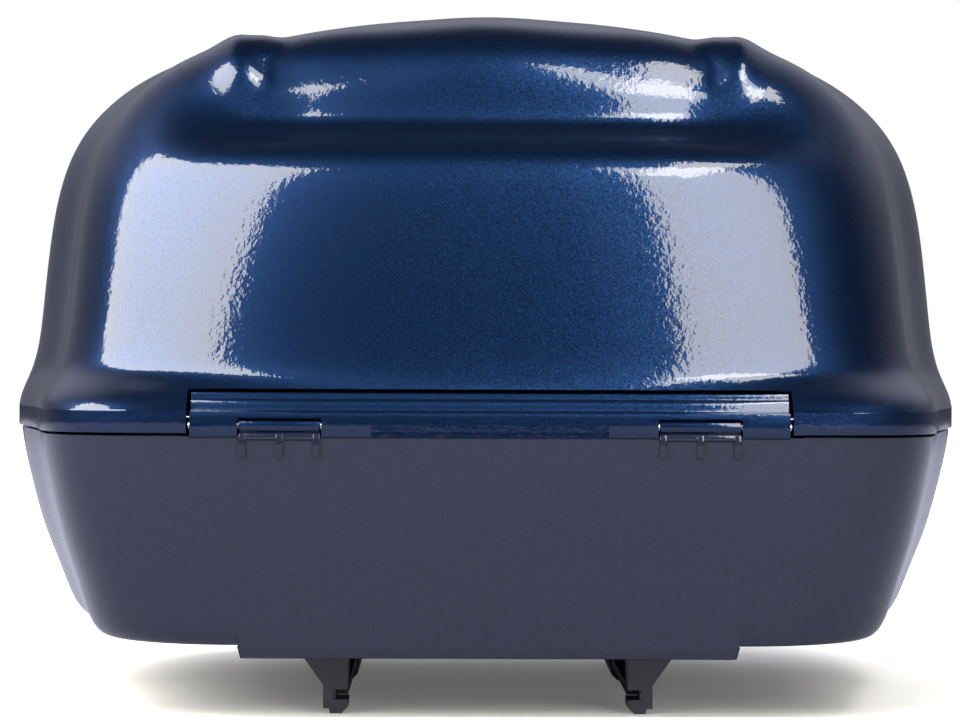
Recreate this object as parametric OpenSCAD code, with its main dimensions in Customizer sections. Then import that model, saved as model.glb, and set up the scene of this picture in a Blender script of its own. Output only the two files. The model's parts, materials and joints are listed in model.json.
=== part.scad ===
// Rigid top case for a motorcycle or scooter luggage carrier.
//
// A domed lid turns on a long pin at the rider's side and is caught by a lever latch at the
// back. Hooked feet slide onto the carrier, and a spring bolt behind a push button holds them.
// X runs across the case, Y from the hinge side to the latch side and Z upwards. The origin
// lies on the ground under the middle of the case.

/* [Case] */
// Width across the rim
case_w = 461; // [452:1:466]
// Depth from the hinge side to the back of the rim
case_d = 400; // [392:1:402]
// Height of the crown above the ground
crown_z = 327; // [325:1:330]
// Thickness of the moulded walls
wall = 3; // [2.5:0.1:3.5]
// Facets round the moulded shells
shell_steps = 72; // [48:4:88]

/* [Rim] */
// Underside of the lid
lid_z = 127; // [127:0.1:127.5]
// Gap between lid and base
rim_gap = 1.2; // [0.8:0.1:1.5]
// Height of the upright band round the rim of the lid
band_h = 10; // [9:0.5:11]

/* [Hinge] */
// Width of the hinge beam
beam_w = 261.5; // [258:0.5:264]
// Diameter of the hinge pin
pin_d = 4; // [3:0.5:4]
// Outer diameter of the hinge knuckles
knuckle_d = 7.2; // [7:0.1:7.4]
// Width of a knuckle
knuckle_w = 35.5; // [30:0.5:36]
// Distance of a knuckle from the middle
knuckle_x = 91.7; // [88:0.1:94]
// Radial clearance of a pin that turns
running = 0.05; // [0.02:0.01:0.08]

/* [Feet] */
// Half of the clear width between the feet
foot_x = 63; // [60:1:66]
// Length of a front foot along the case
foot_l = 22; // [18:1:26]
// Length of a rear foot along the case
rear_foot_l = 92; // [80:1:100]
// Distance from the hinge side to the middle of the front feet
front_foot = 62; // [58:1:70]
// Distance from the hinge side to the middle of the rear feet
rear_foot = 246; // [240:1:252]

/* [Hidden] */
$fn = 48;

latch_out = 5;                      // how far the latch stands out at the back
hinge_y = -(case_d + latch_out) / 2; // hinge side of the rim
back_y = hinge_y + case_d;          // latch side of the rim
widest_y = hinge_y + 222;           // where the rim is widest
base_z = lid_z - rim_gap;           // top edge of the base
band_z = lid_z + band_h;            // top of the upright band
floor_z = 35.5;                     // floor inside the base
under_z = 32.5;                     // underside of the base shell
plinth_z = 27.2;                    // underside of the plinth
axis_y = hinge_y + 4.5;             // hinge axis
axis_z = 130.5;
sweep_r = 6;                        // radius of the beam's rounded underside
beam_top = 145;                     // top of the hinge beam
recess_top = beam_top + 1.5;        // top of the recess for the beam
beam_back = hinge_y + 14;           // inner face of the hinge beam
fit = 0.3;                          // gap between pieces that don't touch
edge_z = 124.4;                     // underside of the knuckle brackets over the base's edge
knuckle_screw_z = 118.5;

// ---- the moulded form ---------------------------------------------------------------------

// Squareness of the rim's plan at the front and at the back
front_power = 8;
back_power = 2.9;
// Share of its width that the rim loses towards the hinge
front_taper = 0.11;

// Inset from the rim and height, from the band up to the crown, on the hinge side. Heights run
// from drawn_low to drawn_top and are scaled to the height asked for.
drawn_low = 127;
drawn_top = 331;
front_profile = [
    [0, 137], [5, 141], [11, 149], [14, 168], [18, 205], [25, 243], [34, 256.5], [54, 264],
    [67, 269], [70, 287], [75, 305], [94, 319], [146, 328.5], [188, 331], [222, 331]
];
// The same at the sides
side_profile = [
    [0, 137], [1, 143], [5, 152], [9.5, 166], [12, 195], [15.5, 228], [20.5, 251], [28.5, 270],
    [42, 286.5], [60, 300], [84, 310.8], [112, 317.8], [146, 325.5], [190, 330.5], [230.5, 331]
];
// The same at the back
back_profile = [
    [0, 137], [1, 142], [5, 152], [8, 170], [11, 200], [16, 228], [24, 250], [36, 270],
    [50, 286], [66, 299], [84, 310], [104, 319], [128, 326], [154, 330], [178, 331]
];
// Inset and height of the base on the hinge side, from its top edge down to its underside
base_front = [
    [2, 126], [3, 113], [4.5, 98], [7, 80], [9.5, 65], [11.5, 54], [13, 45], [14.5, 38.5],
    [17.5, 34], [23, 32.5], [110, 32.5]
];
// The same at the sides and the back
base_side = [
    [1.5, 126], [3, 115], [6, 102], [9.5, 88], [13.5, 75], [18.5, 63], [22.5, 52.5], [26.5, 42.5],
    [31, 36], [39, 32.5], [110, 32.5]
];

// Curvature of the dome round the crown, along X, along Y and how it falls off to the back
dome_x = 0.00145;
dome_y = 0.001;
dome_fall = 0.0000087;
// Share of the way out from the crown over which the dome takes over
dome_share = 0.42;
dome_blend = 0.3;
// Crests that run from front to back over the lid, steeper on their inner side
crest_x = 115.5;
crest_h = 3.4;
crest_in = 5;
crest_out = 10;
// Panel sunk between the crests, the width of its edge low down and high up, and the low swell
// along its middle
panel_x = 106.5;
edge_low = 9;
edge_high = 18;
panel_depth = 4.2;
swell_h = 3.8;
swell_spread = 46;
// How far the front face curves back behind the straight rim, at bow_x from the middle
bow = 18;
bow_x = 157;
bow_power = 2.7;
bow_rise = 0.004;

function clamp01(u) = min(1, max(0, u));
function smooth(u) = let (c = clamp01(u)) c * c * c * (c * (6 * c - 15) + 10);
function mixed(a, b, t) = a + (b - a) * t;

// Point of the rim's plan in direction a, measured from the widest line
function rim_point(a) =
    let (front = sin(a) < 0,
         half_d = front ? widest_y - hinge_y : back_y - widest_y,
         power = front ? front_power : back_power,
         r = pow(pow(abs(cos(a)) / (case_w / 2), power) + pow(abs(sin(a)) / half_d, power),
                 -1 / power),
         y = r * sin(a),
         taper = front ? 1 - front_taper * smooth(-y / half_d / 0.85) : 1)
    [r * cos(a) * taper, y];

// Uniform cubic B-spline through the first and last points of a list, at t from 0 to 1
function curve_point(points, t) =
    let (n = len(points), s = clamp01(t) * (n - 1), i = min(n - 2, floor(s)), u = s - i,
         at = function (k) k < 0 ? 2 * points[0] - points[1]
                         : k >= n ? 2 * points[n - 1] - points[n - 2] : points[k])
    (pow(1 - u, 3) * at(i - 1) + (3 * u * u * u - 6 * u * u + 4) * at(i)
     + (-3 * u * u * u + 3 * u * u + 3 * u + 1) * at(i + 1) + u * u * u * at(i + 2)) / 6;

// How much direction a belongs to the sides and not to the front or the back
function side_share(a) =
    let (off = asin(abs(sin(a))))
    sin(a) < 0 ? smooth((60 - off) / 24) : smooth((75 - off) / 60);

// Inset and height of the lid's skin in direction a, as a share of the way to the middle
function lid_level(a, t) =
    let (w = side_share(a),
         ahead = sin(a) < 0,
         end = curve_point(ahead ? front_profile : back_profile, t),
         side = curve_point(side_profile, t),
         depth = ahead ? widest_y - hinge_y : back_y - widest_y)
    [mixed(end[0] / depth, side[0] / (case_w / 2), w), mixed(end[1], side[1], w)];

// Outward push of the crests, the sunk panel and its swell at a point of the skin
function crest(x, y, z) =
    let (shift = 5 * smooth((z - 285) / 35),
         rise = smooth((z - 272) / 30),
         fade = 1 - smooth((y - 20) / 130),
         out = abs(x) - crest_x - shift,
         edge = mixed(edge_low, edge_high, smooth((z - 292) / 20)),
         panel = panel_x + shift + (edge_high - edge) / 3,
         spread = out < 0 ? crest_in + (edge - edge_low) / 3 : crest_out)
    rise * fade * (crest_h * exp(-pow(out / spread, 2))
                   - panel_depth * smooth((panel - abs(x)) / edge)
                   + swell_h * exp(-pow(x / swell_spread, 2)));

// Height of the dome round the crown, at a place measured from the widest line
function dome(x, y) = drawn_top - dome_x * x * x - dome_y * y * y - dome_fall * y * y * y;

// Point of the lid's skin, moved inwards by a thickness
function lid_point(a, t, inward) =
    let (rim = rim_point(a),
         level = lid_level(a, t),
         k = max(0, 1 - level[0]),
         x0 = rim[0] * k,
         y0 = rim[1] * k,
         drawn = mixed(level[1], dome(x0, y0), smooth((dome_share - k) / dome_blend)),
         z0 = lid_z + (drawn - drawn_low) * (crown_z - lid_z) / (drawn_top - drawn_low),
         away = [0, y0, z0 - 150],
         q = [x0, y0, z0] + crest(x0, y0 + widest_y, z0) * away / max(1, norm(away)),
         p = q + [0, bow * pow(abs(x0) / bow_x, bow_power) * smooth(-y0 / 180)
                     * smooth((q[2] - 138) / 20) * (1 + bow_rise * (q[2] - 200)), 0],
         shrink = max(0, 1 - inward / norm(rim)),
         h = (p[2] - lid_z) / (crown_z - lid_z))
    [p[0] * shrink, widest_y + p[1] * shrink, p[2] - inward * smooth(h * 1.15)];

// Point of the base's skin, moved inwards by a thickness
function base_point(a, t, inward) =
    let (rim = rim_point(a),
         w = sin(a) < 0 ? side_share(a) : 1,
         level = mixed(curve_point(base_front, t), curve_point(base_side, t), w),
         k = 1 - (level[0] + inward) / norm(rim),
         z = level[1] - (126 - base_z) * smooth((level[1] - 60) / 60))
    [rim[0] * k, rim[1] * k + widest_y, inward > 0 ? max(floor_z, z) : z];

// Triangles between two rings of n points that start at vertices p and q
function strip(p, q, n) =
    [for (j = [0:n - 1]) let (k = (j + 1) % n) each [[p + j, q + k, p + k], [p + j, q + j, q + k]]];
// Fan over a ring of n points that starts at vertex p
function fan(p, n) = [for (j = [1:n - 2]) [p, p + j + 1, p + j]];
function turned(faces) = [for (f = faces) [f[2], f[1], f[0]]];

// Hollow shell between an outer and an inner list of rings, both from the open edge to the crown
module shell(outer, inner, upwards = true) {
    n = len(outer[0]);
    m = len(outer);
    start = m * n;
    faces = concat(
        [for (i = [0:m - 2]) each strip(i * n, (i + 1) * n, n)],
        fan((m - 1) * n, n),
        turned([for (i = [0:len(inner) - 2]) each strip(start + i * n, start + (i + 1) * n, n)]),
        turned(fan(start + (len(inner) - 1) * n, n)),
        turned(strip(0, start, n))
    );
    points = concat([for (ring = outer) each ring], [for (ring = inner) each ring]);
    polyhedron(points, upwards ? faces : turned(faces), convexity = 10);
}

// Closed hoop through a loop of rings
module hoop(rings) {
    n = len(rings[0]);
    m = len(rings);
    polyhedron([for (ring = rings) each ring],
               [for (i = [0:m - 1]) each strip(i * n, ((i + 1) % m) * n, n)], convexity = 6);
}

directions = [for (j = [0:shell_steps - 1]) 360 * j / shell_steps];
// Ring of the rim's plan, moved inwards by a distance, at height z
function rim_ring(inward, z) = [for (a = directions)
    let (rim = rim_point(a), k = 1 - inward / norm(rim)) [rim[0] * k, widest_y + rim[1] * k, z]];

module along_x(length) rotate([90, 0, 90]) linear_extrude(length, center = true) children();
module rod_x(r, length, y, z) translate([0, y, z]) rotate([0, 90, 0])
    cylinder(r = r, h = length, center = true);
module block(x, y, z) translate([x[0], y[0], z[0]]) cube([x[1] - x[0], y[1] - y[0], z[1] - z[0]]);
module screw(r, length, head_r, head_h) {
    translate([0, 0, -length]) cylinder(r = r, h = length + 0.01);
    difference() {
        cylinder(r = head_r, h = head_h);
        translate([0, 0, head_h / 2]) cylinder(r = head_r * 0.5, h = head_h, $fn = 6);
    }
}

// ---- base ---------------------------------------------------------------------------------

front_y = hinge_y + front_foot;
rear_y = hinge_y + rear_foot;
screw_x = foot_x + 11.5;
front_gap = 6;
rear_gap = 36;
foot_spots = [for (x = [-1, 1], y = [front_y - front_gap, front_y + front_gap, rear_y - rear_gap,
                                     rear_y + rear_gap]) [x * screw_x, y]];
bolt_y = back_y - 54;
bolt_r = 5;
bolt_tip_r = 4;
bolt_drop = 6;
guide_spots = [for (x = [-10.6, 10.6]) [x, bolt_y - 11.5]];
housing_w = 84;
housing_y = back_y - 32;
housing_z = 50;
recess_w = beam_w + 3;
plinth_half = 112;
skirt_back = hinge_y + 24;

module holes(spots, r, z0, z1) for (spot = spots) translate([spot[0], spot[1], z0])
    cylinder(r = r, h = z1 - z0);

// Space between the slanted flanks of the plinth
module between_flanks() rotate([90, 0, 0]) linear_extrude(2 * case_d, center = true) polygon([
    [-plinth_half - 4, 50], [-plinth_half + 2.5, plinth_z - 1],
    [plinth_half - 2.5, plinth_z - 1], [plinth_half + 4, 50]
]);

// Front wall carried on down to the level of the plinth
module skirt() intersection() {
    along_x(2 * plinth_half) polygon([
        [hinge_y + 14, 44], [hinge_y + 15, 38], [hinge_y + 16, plinth_z], [skirt_back, plinth_z],
        [skirt_back, 34], [hinge_y + 18.5, 36], [hinge_y + 16, 44]
    ]);
    between_flanks();
}

module base_shell() {
    rows = 15;
    inner_rows = [0, 1, 2, 3, 4, 5, 6, 7, 8, 9, 10, 11, 11.5, 12, 12.5, 13];
    color("#2b3148") difference() {
        union() {
            shell([for (i = [0:rows]) [for (a = directions) base_point(a, i / rows, 0)]],
                  [for (i = inner_rows) [for (a = directions) base_point(a, i / rows, wall)]],
                  false);
            skirt();
        }
        rod_x(sweep_r + 0.5, recess_w, axis_y, axis_z);
        for (side = [-1, 1])
            block([side * knuckle_x - knuckle_w / 2 - fit, side * knuckle_x + knuckle_w / 2 + fit],
                  [hinge_y - 1, hinge_y + 10], [edge_z - fit, 130]);
        for (side = [-1, 1], i = [-1, 1])
            translate([side * knuckle_x + i * 10, hinge_y + 3.8, knuckle_screw_z])
                rotate([-90, 0, 0]) cylinder(r = 1.8, h = 4, $fn = 24);
        block([-housing_w / 2 - fit, housing_w / 2 + fit], [housing_y - fit, back_y + 10],
              [housing_z - fit, 130]);
        holes(foot_spots, 2.3, 30, 40);
        holes(guide_spots, 1.5, 30, 40);
        translate([0, bolt_y, 30]) cylinder(r = bolt_r + 0.6, h = 10);
    }
}

module plinth() {
    front = skirt_back + fit;
    back = back_y - 44;
    corner = 14;
    color("#23293c") difference() {
        intersection() {
            translate([0, 0, plinth_z]) linear_extrude(under_z - plinth_z) union() {
                translate([-plinth_half, front]) square([2 * plinth_half, back - corner - front]);
                translate([corner - plinth_half, front])
                    square([2 * (plinth_half - corner), back - front]);
                for (x = [-1, 1])
                    translate([x * (plinth_half - corner), back - corner]) circle(corner);
            }
            between_flanks();
        }
        holes(foot_spots, 2.3, 20, 40);
        holes(guide_spots, 1.5, 20, 40);
        translate([0, bolt_y, 20]) cylinder(r = bolt_r + 0.6, h = 20);
    }
}

slot_z = [6.3, 10.8];
slot_in = 6.6;
// A hooked foot; lip is how far it stands inwards above its slot
module foot(x_side, y, length, gap, lip = 0) {
    color("#1d222e") translate([0, y, 0]) mirror([x_side < 0 ? 1 : 0, 0, 0]) difference() {
        rotate([90, 0, 0]) linear_extrude(length, center = true) polygon([
            [foot_x - lip, plinth_z], [foot_x + 21.7, plinth_z], [foot_x + 20.6, plinth_z - 1.2],
            [foot_x + 11.2, 12.8], [foot_x + 11.2, 2.3], [foot_x + 8.5, 2.3], [foot_x + 8, 0],
            [foot_x + 3, 0], [foot_x, 3], [foot_x, slot_z[0]], [foot_x + slot_in, slot_z[0]],
            [foot_x + slot_in, slot_z[1]], [foot_x, slot_z[1]], [foot_x - 0.6 * lip, slot_z[1] + 2]
        ]);
        for (side = [-1, 1]) translate([screw_x, side * gap, 21]) cylinder(r = 2.05, h = 10);
    }
}

// Strip along the bottom of the slots of two feet, wider between them
module runner(x_side) {
    strip_t = 1.1;
    z = [slot_z[0] + 0.1, slot_z[1] - 0.1];
    deep = foot_x + slot_in - 0.1;
    color("#26262a") mirror([x_side < 0 ? 1 : 0, 0, 0]) {
        block([deep - strip_t, deep],
              [front_y - foot_l / 2, rear_y + rear_foot_l / 2], z);
        block([foot_x + 0.5, deep],
              [front_y + foot_l / 2 + fit, rear_y - rear_foot_l / 2 - fit], z);
    }
}

module foot_screws() {
    color("#c8cacd") for (spot = foot_spots) translate([spot[0], spot[1], floor_z + 0.1])
        screw(2, 14.5, 4.4, 2.4);
}

module floor_mat() {
    inset = 43;
    color("#2a2a2c") difference() {
        translate([0, 0, floor_z + 0.2]) linear_extrude(2.4)
            polygon([for (p = rim_ring(inset, 0)) [p[0], p[1]]]);
        holes(foot_spots, 5.4, 30, 50);
        block([-18, 18], [bolt_y - 17, back_y], [30, 50]);
    }
}

module rim_seal() {
    inset = wall + 3;
    thick = 3;
    color("#141416") difference() {
        hoop([rim_ring(inset, base_z - 5), rim_ring(inset, base_z + 0.7),
              rim_ring(inset + thick, base_z + 0.7), rim_ring(inset + thick, base_z - 5)]);
        block([-recess_w / 2 - 5, recess_w / 2 + 5], [hinge_y - 5, hinge_y + 14], [100, 140]);
        block([-housing_w / 2 - fit, housing_w / 2 + fit], [housing_y - fit, back_y + 10], [100, 140]);
    }
}

// Barrel on a bracket that hooks over the edge of the base: a plate behind the wall, three ribs
// in front of it
module knuckle(x_side) {
    rib_w = 3.1;
    rib_gap = (knuckle_w - rib_w) / 2;
    plate_y = [hinge_y + 6.3, hinge_y + 9];
    color("#262b3c") translate([x_side * knuckle_x, 0, 0]) difference() {
        union() {
            rod_x(knuckle_d / 2, knuckle_w, axis_y, axis_z);
            along_x(knuckle_w) polygon([
                [hinge_y + 0.9, edge_z], [hinge_y + 0.9, 126.9], [axis_y - 2.4, axis_z - 2.6],
                [axis_y + 3, axis_z - 2.6], [plate_y[1], 125.4], [plate_y[1], 114.8],
                [plate_y[0], 114.8], [plate_y[0], edge_z]
            ]);
            for (i = [-1:1]) translate([i * rib_gap, 0, 0]) along_x(rib_w) polygon([
                [hinge_y + 0.9, 126.9], [hinge_y + 0.5, 125.9], [hinge_y + 0.3, 121],
                [hinge_y + 0.8, 117.4],
                [hinge_y + 1.7, 116.2], [hinge_y + 2.3, 116.4], [hinge_y + 1.7, edge_z],
                [hinge_y + 2.6, 126.9]
            ]);
        }
        rod_x(pin_d / 2 + running, knuckle_w + 2, axis_y, axis_z);
        for (i = [-1, 1]) translate([i * 10, hinge_y + 10, knuckle_screw_z]) rotate([90, 0, 0])
            cylinder(r = 1.6, h = 5);
    }
}

module knuckle_screws() {
    color("#c8cacd") for (side = [-1, 1], i = [-1, 1])
        translate([side * knuckle_x + i * 10, hinge_y + 9.1, knuckle_screw_z]) rotate([-90, 0, 0])
            screw(1.5, 4.9, 3.2, 1.8);
}

lever_y = back_y + 1.5;
lever_z = 120.5;
claw_y = back_y - 6;
claw_z = 84;
pin_r = 1.5;

module latch_housing() {
    side_profile_yz = [
        [housing_y, housing_z], [back_y - 21.5, housing_z], [back_y - 17, 64], [back_y - 10.3, 84],
        [back_y - 4, 106], [back_y + 2.6, 114], [back_y + 3, 125.3], [housing_y, 125.3]
    ];
    color("#1b1f2a") difference() {
        along_x(housing_w) polygon(side_profile_yz);
        // the well behind the lever, open above and behind
        block([-housing_w / 2 + 5, housing_w / 2 - 5], [housing_y + 2.5, back_y + 10], [74, 130]);
        // the chamber of the release button
        block([-20, 20], [housing_y + 2.5, back_y - 24.2], [54, 71.5]);
        block([-17.3, 17.3], [back_y - 25, back_y], [55.7, 69.3]);
        block([-6.5, 6.5], [housing_y - 1, housing_y + 4], [56, 67.5]);
        rod_x(pin_r + running, housing_w - 2, lever_y, lever_z);
        rod_x(2 + running, housing_w - 2, claw_y, claw_z);
        for (x = [-34, 34], z = [58, 66]) translate([x, housing_y - 1, z]) rotate([-90, 0, 0])
            cylinder(r = 1.6, h = 8);
    }
}

module housing_screws() {
    color("#c8cacd") for (x = [-34, 34], z = [58, 66])
        translate([x, housing_y - 0.1, z]) rotate([90, 0, 0]) screw(1.5, 6, 3.2, 1.8);
}

module lever_pin() color("#c4c6ca") rod_x(pin_r, housing_w - 4, lever_y, lever_z);
module claw_pin() color("#c4c6ca") rod_x(2, housing_w - 4, claw_y, claw_z);

guide_top = 95;
module bolt_guide() {
    color("#202024") difference() {
        block([-13, 13], [bolt_y - 14, housing_y - 5.6], [floor_z + 0.1, guide_top]);
        block([-9, 9], [bolt_y - 9, housing_y - 7.6], [floor_z + 4, guide_top - 2.5]);
        block([-7, 7], [bolt_y, housing_y + 1], [56, 75]);
        translate([0, bolt_y, 30]) cylinder(r = bolt_r + running, h = 20);
        holes(guide_spots, 1.3, 30, 48);
    }
}

module guide_screws() {
    color("#c8cacd") for (spot = guide_spots) translate([spot[0], spot[1], plinth_z - 0.1])
        mirror([0, 0, 1]) screw(1.2, 14, 2.6, 1.5);
}

module bolt_spring() {
    turns = 6;
    z0 = 76.3;
    pitch = (guide_top - 2.7 - z0) / turns;
    color("#d0d2d5") translate([0, bolt_y, z0]) for (i = [0:turns - 1])
        translate([0, 0, (i + 0.5) * pitch]) rotate_extrude() translate([5, 0]) circle(0.7);
}

// ---- lid ----------------------------------------------------------------------------------

skin_rows = 18;
function lid_rows(last, rows, inward) =
    [for (i = [0:rows]) [for (a = directions) lid_point(a, last * i / rows, inward)]];

module lid_shell() {
    last = 0.985;
    outer = concat([rim_ring(0.6, lid_z), rim_ring(0, lid_z + 0.6)], lid_rows(last, 26, 0));
    inner = concat([rim_ring(wall, lid_z)], lid_rows(last, skin_rows, wall));
    color("#1b3a78") difference() {
        shell(outer, inner);
        block([-recess_w / 2, recess_w / 2], [hinge_y - 5, beam_back + fit], [120, recess_top]);
    }
}

module lid_liner() {
    last = 0.985;
    gap = wall + 1.2;
    thick = 2;
    color("#3a3d44") difference() {
        shell(concat([rim_ring(gap, lid_z + 2)], lid_rows(last, skin_rows, gap)),
              concat([rim_ring(gap + thick, lid_z + 2)], lid_rows(last, skin_rows, gap + thick)));
        block([-recess_w / 2 - 4, recess_w / 2 + 4], [hinge_y - 5, beam_back + 4], [120, beam_top + 3]);
        block([-30, 30], [back_y - 30, back_y + 5], [120, 150]);
    }
}

beam_screw_x = [-110, -50, 50, 110];
beam_screw_z = 139.5;
module hinge_beam() {
    notch_top = axis_z + 3.3;
    lip = [for (a = [228:12:300]) [axis_y + sweep_r * cos(a), axis_z + sweep_r * sin(a)]];
    color("#1b3a78") difference() {
        along_x(beam_w) polygon(concat(lip, [
            [beam_back, axis_z + 0.8], [beam_back, beam_top], [hinge_y + 8.2, beam_top],
            [hinge_y + 7.2, beam_top - 2.6], [hinge_y + 4.4, beam_top - 3.8],
            [hinge_y + 3.2, beam_top - 7.6], [hinge_y + 0.8, beam_top - 8.4],
            [hinge_y, beam_top - 10], [hinge_y, axis_z - 4]
        ]));
        for (side = [-1, 1]) translate([side * knuckle_x, 0, 0]) {
            rod_x(knuckle_d / 2 + 0.5, knuckle_w + 1.2, axis_y, axis_z);
            along_x(knuckle_w + 1.2) polygon([
                [hinge_y - 2, axis_z - 8], [hinge_y + 20, axis_z - 8], [hinge_y + 20, axis_z + 1.5],
                [axis_y + 3.2, axis_z + 2.2], [axis_y, notch_top], [hinge_y - 2, notch_top]
            ]);
        }
        rod_x(pin_d / 2 + running, beam_w + 2, axis_y, axis_z);
        block([-51.75, 51.75], [hinge_y - 1, hinge_y + 1.5], [123, 127.9]);
        for (x = beam_screw_x) translate([x, beam_back + 1, beam_screw_z]) rotate([90, 0, 0])
            cylinder(r = 1.6, h = 7);
    }
}

module hinge_pin() color("#d3d5d8") rod_x(pin_d / 2, beam_w + 1.4, axis_y, axis_z);

module beam_screws() {
    color("#c8cacd") for (x = beam_screw_x)
        translate([x, beam_back + 0.1, beam_screw_z]) rotate([-90, 0, 0]) screw(1.5, 5, 3.2, 1.8);
}

tongue_y = housing_y + 9;
module striker() {
    color("#b4b7bc") difference() {
        along_x(44) polygon([
            [tongue_y, 110], [tongue_y + 7.4, 110], [tongue_y + 7.4, 112], [tongue_y + 3, 113.2],
            [tongue_y + 3, 130], [back_y - 8, 130], [back_y - 7, 131], [back_y - 6, 145],
            [back_y - 8.5, 145], [back_y - 9.5, 133.5], [tongue_y, 133.5]
        ]);
        for (x = [-15, 15]) translate([x, back_y - 10, 139.5]) rotate([-90, 0, 0])
            cylinder(r = 1.7, h = 10);
    }
}

module striker_screws() {
    color("#c8cacd") for (x = [-15, 15]) translate([x, back_y - 9.5, 139.5]) rotate([90, 0, 0])
        screw(1.5, 5, 3, 1.6);
}

// ---- latch --------------------------------------------------------------------------------

module latch_lever() {
    lever_w = 72;
    color("#171a22") difference() {
        union() {
            rod_x(3.2, lever_w, lever_y, lever_z);
            along_x(lever_w) polygon([
                [lever_y - 1.5, 91], [lever_y + 3, 90], [lever_y + 3.5, 95], [lever_y + 1.8, 99],
                [lever_y + 1.8, 114], [lever_y + 2.6, 120.5], [lever_y - 1.5, 120.5]
            ]);
            translate([0, lever_y - 3.5, 102]) rotate([-90, 0, 0]) cylinder(r = 10, h = 6);
        }
        rod_x(pin_r + running, lever_w + 2, lever_y, lever_z);
        translate([0, lever_y - 8, 102]) rotate([-90, 0, 0]) cylinder(r = 7 + running, h = 20);
    }
}

module lock_cylinder() {
    color("#c9cbce") translate([0, lever_y - 6.5, 102]) rotate([-90, 0, 0]) difference() {
        union() {
            cylinder(r = 7, h = 9.6);
            translate([0, 0, 9.6]) cylinder(r1 = 7, r2 = 6.4, h = 0.6);
            translate([-2, -12, -1.6]) cube([4, 16, 1.6]);
        }
        translate([-0.7, -4, 4]) cube([1.4, 8, 10]);
    }
}

module latch_claw() {
    arm_x = [13, 20];
    color("#9da1a8") difference() {
        union() {
            rod_x(4.2, 40, claw_y, claw_z);
            for (side = [-1, 1]) translate([side * (arm_x[0] + arm_x[1]) / 2, 0, 0])
                along_x(arm_x[1] - arm_x[0]) polygon([
                    [claw_y - 3, claw_z], [claw_y + 3, claw_z], [claw_y + 0.2, 89.5],
                    [claw_y + 0.2, 97], [claw_y + 2.2, 112],
                    [claw_y + 1, 117.2], [claw_y - 4, 115], [tongue_y + 8.4, 113.8],
                    [claw_y - 2, 113.4]
                ]);
        }
        rod_x(2 + running, 60, claw_y, claw_z);
    }
}

// ---- carrier lock -------------------------------------------------------------------------

module carrier_bolt() {
    color("#b9bcc1") difference() {
        union() {
            translate([0, bolt_y, plinth_z]) cylinder(r = bolt_r, h = 59.5 - plinth_z);
            translate([0, bolt_y, plinth_z - bolt_drop]) cylinder(r = bolt_tip_r, h = bolt_drop + 1);
            along_x(13) polygon([
                [bolt_y - 7, 58], [bolt_y + 6, 58], [bolt_y + 14, 66], [bolt_y + 14, 76],
                [bolt_y - 7, 76]
            ]);
        }
    }
}

module release_button() {
    ramp = bolt_y + 6 - 58 + 0.5;
    tip = bolt_y + 11;
    color("#b02020") {
        along_x(34) polygon([
            [back_y - 23.8, 56], [back_y - 17.6, 56], [back_y - 12.6, 69], [back_y - 23.8, 69]
        ]);
        along_x(12) polygon([
            [tip, 57], [tip, tip - ramp], [66 + ramp, 66], [back_y - 23.8, 66], [back_y - 23.8, 57]
        ]);
    }
}

base_shell();
plinth();
foot(-1, front_y, foot_l, front_gap);  // foot_front_left
foot(1, front_y, foot_l, front_gap);  // foot_front_right
foot(-1, rear_y, rear_foot_l, rear_gap, 4.6);  // foot_rear_left
foot(1, rear_y, rear_foot_l, rear_gap, 4.6);  // foot_rear_right
runner(-1);  // runner_left
runner(1);  // runner_right
foot_screws();
floor_mat();
rim_seal();
knuckle(-1);  // knuckle_left
knuckle(1);  // knuckle_right
knuckle_screws();
latch_housing();
housing_screws();
lever_pin();
claw_pin();
bolt_guide();
bolt_spring();
guide_screws();
lid_shell();
lid_liner();
hinge_beam();
hinge_pin();
beam_screws();
striker();
striker_screws();
latch_lever();
latch_claw();
lock_cylinder();
carrier_bolt();
release_button();
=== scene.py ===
"""Rigid top case for a motorcycle or scooter carrier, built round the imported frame."""
import json
import math
import bpy
import bmesh
import numpy as np
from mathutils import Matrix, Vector


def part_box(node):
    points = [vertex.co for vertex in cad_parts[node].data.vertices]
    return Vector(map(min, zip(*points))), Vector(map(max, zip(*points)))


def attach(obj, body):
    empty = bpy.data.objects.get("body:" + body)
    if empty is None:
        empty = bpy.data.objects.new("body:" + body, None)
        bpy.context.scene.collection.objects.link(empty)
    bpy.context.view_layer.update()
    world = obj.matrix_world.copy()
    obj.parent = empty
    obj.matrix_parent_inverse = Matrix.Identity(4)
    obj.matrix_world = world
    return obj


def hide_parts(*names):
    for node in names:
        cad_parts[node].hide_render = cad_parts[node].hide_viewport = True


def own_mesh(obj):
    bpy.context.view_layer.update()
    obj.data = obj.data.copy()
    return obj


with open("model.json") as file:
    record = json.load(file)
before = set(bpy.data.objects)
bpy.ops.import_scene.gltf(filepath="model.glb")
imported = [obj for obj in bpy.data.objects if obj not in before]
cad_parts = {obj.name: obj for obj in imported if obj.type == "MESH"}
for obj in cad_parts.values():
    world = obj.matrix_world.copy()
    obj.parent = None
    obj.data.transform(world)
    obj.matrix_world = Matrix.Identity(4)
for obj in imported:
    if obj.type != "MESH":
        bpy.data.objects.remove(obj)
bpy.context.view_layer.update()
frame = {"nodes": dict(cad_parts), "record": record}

scene = bpy.context.scene
nodes = frame["nodes"]
MM = 0.001               # all shapes below are written in millimetres

# ---- camera -------------------------------------------------------------------------------

CAMERA_PLACE = (-0.016, -1.6025, 0.163)
CAMERA_TILT, CAMERA_TURN, CAMERA_ROLL = 89.88, -0.47, 0.22

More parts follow.
